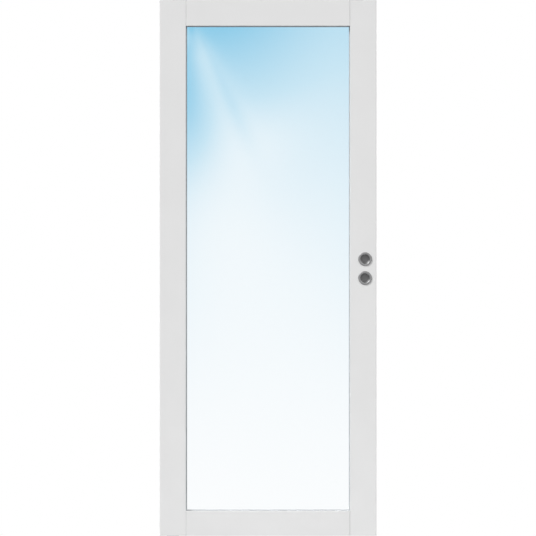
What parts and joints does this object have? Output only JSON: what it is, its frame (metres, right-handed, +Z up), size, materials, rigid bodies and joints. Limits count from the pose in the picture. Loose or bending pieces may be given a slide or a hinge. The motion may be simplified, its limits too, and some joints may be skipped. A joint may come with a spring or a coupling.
{
  "type": "glazed sliding door",
  "caption": "Top-hung sliding door: a painted frame round one tall clear pane, round flush pulls and a hook lock in the lock stile, trolleys in a head track and a floor guide.",
  "frame": {"origin": "on the track's upper fixing face, in the middle of its width, over the middle of the closed leaf", "axes": "+Z up, X along the track with the lock stile at +X, -Y out of the front face; stored closed, opens towards -X"},
  "size_m": [1.57, 0.046, 2.1],
  "materials": {
    "painted_timber": "satin white paint",
    "clear_glass": "clear float",
    "glazing_gasket": "matt grey",
    "satin_steel": "satin, turned",
    "zinc_plated_steel": "bright zinc",
    "nylon": "natural",
    "anodised_aluminium": "satin anodised",
    "buffer_rubber": "matt black",
    "guide_plastic": "matt grey"
  },
  "bodies": {
    "track": {"head_track": "anodised_aluminium", "closed_stop": "anodised_aluminium", "closed_buffer": "buffer_rubber", "open_stop": "anodised_aluminium", "open_buffer": "buffer_rubber", "floor_guide": "guide_plastic"},
    "leaf": {"trailing_stile": "painted_timber", "lock_stile": "painted_timber", "top_rail": "painted_timber", "bottom_rail": "painted_timber", "glazing_bead_top": "painted_timber", "glazing_bead_bottom": "painted_timber", "glazing_bead_trailing": "painted_timber", "glazing_bead_lock": "painted_timber", "glass_pane": "clear_glass", "front_glazing_gasket": "glazing_gasket", "rear_glazing_gasket": "glazing_gasket", "front_upper_pull": "satin_steel", "front_lower_pull": "satin_steel", "rear_upper_pull": "satin_steel", "rear_lower_pull": "satin_steel", "lock_forend": "satin_steel", "lock_case": "zinc_plated_steel", "hook_bolt": "zinc_plated_steel", "trailing_hanger_plate": "zinc_plated_steel", "lock_side_hanger_plate": "zinc_plated_steel", "trailing_hanger_bolt": "zinc_plated_steel", "lock_side_hanger_bolt": "zinc_plated_steel", "trailing_trolley": "zinc_plated_steel", "lock_side_trolley": "zinc_plated_steel", "trailing_trolley_wheels": "nylon", "lock_side_trolley_wheels": "nylon"}
  },
  "joints": [
    {"name": "leaf_slide", "type": "slide", "parent": "track", "child": "leaf", "axis": [-1, 0, 0], "range_m": [0, 0.725]}
  ]
}
